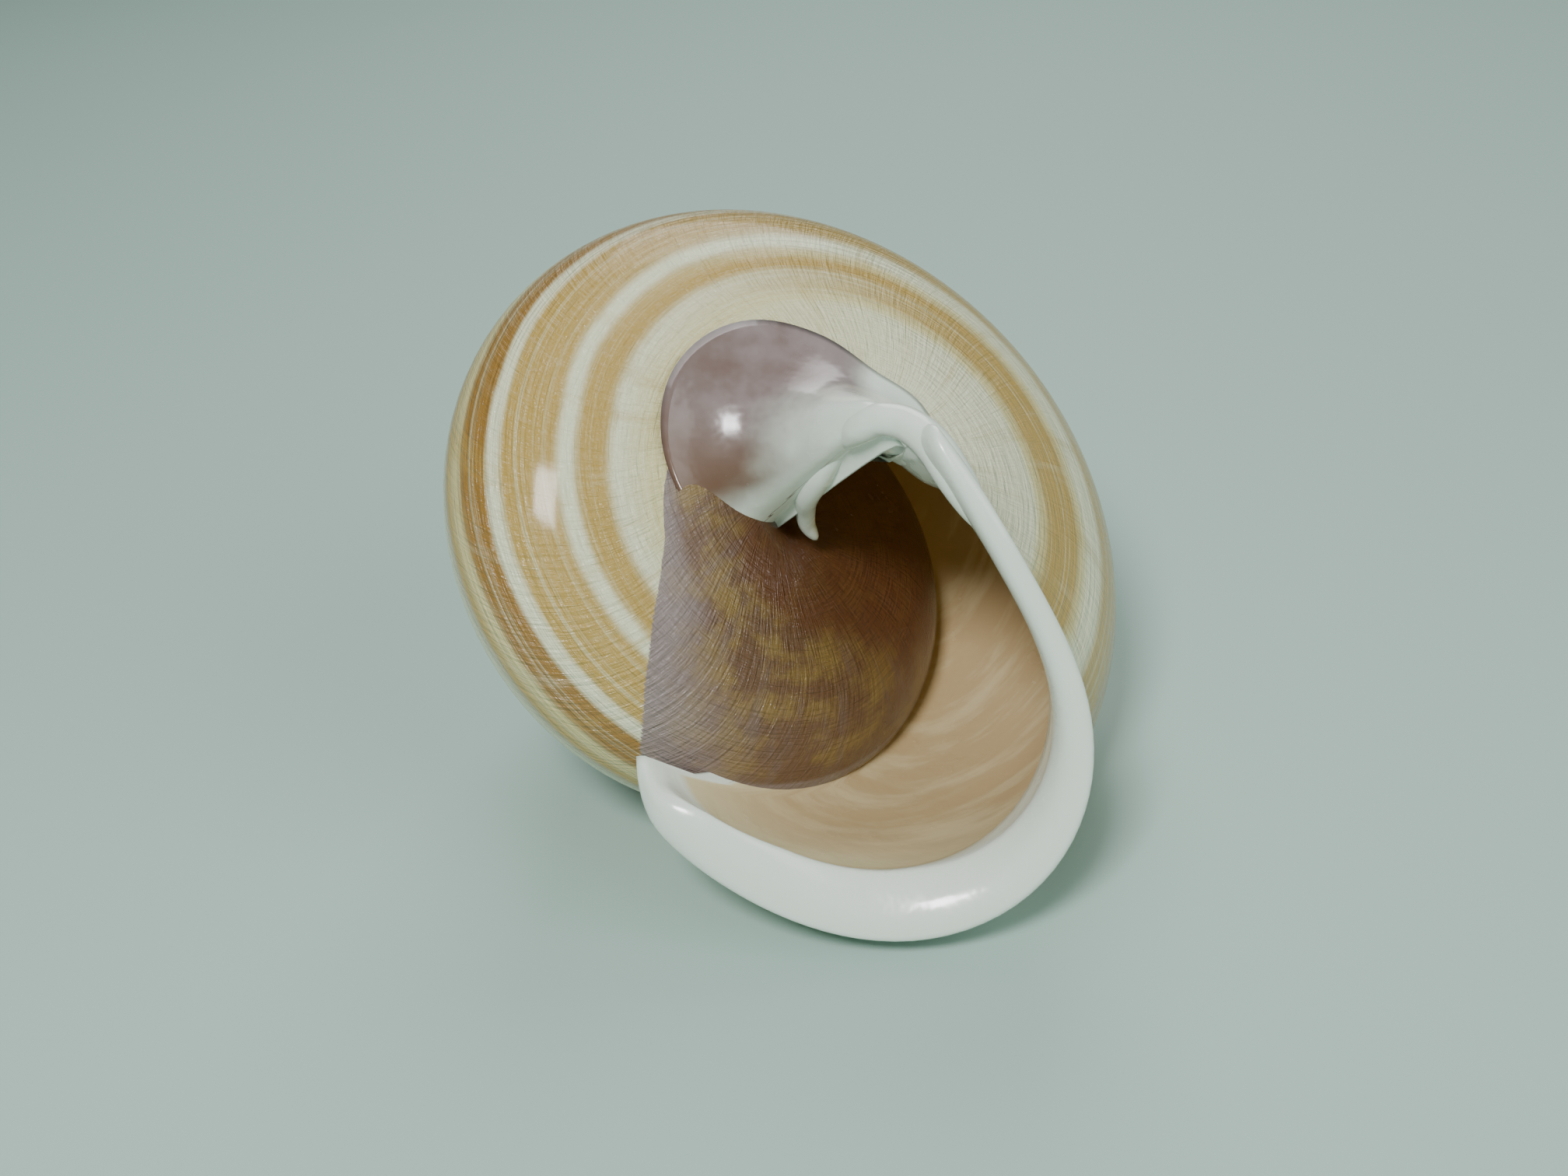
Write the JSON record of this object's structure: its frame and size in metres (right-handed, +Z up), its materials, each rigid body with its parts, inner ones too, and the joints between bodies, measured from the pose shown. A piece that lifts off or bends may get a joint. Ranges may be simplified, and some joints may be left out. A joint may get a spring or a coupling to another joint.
{
  "type": "land snail shell",
  "caption": "Empty left-coiling land snail shell with a domed spire, a thick turned-out lip and an open spiral hollow.",
  "frame": {"origin": "centre of the bounding box's bottom, on the surface the shell rests on", "axes": "+Z up, with the mouth facing -Y and a little up"},
  "size_m": [0.0386, 0.039, 0.0317],
  "materials": {
    "shell": "glossy ivory with ochre bands"
  },
  "bodies": {
    "root": {"shell": "shell"}
  },
  "joints": []
}
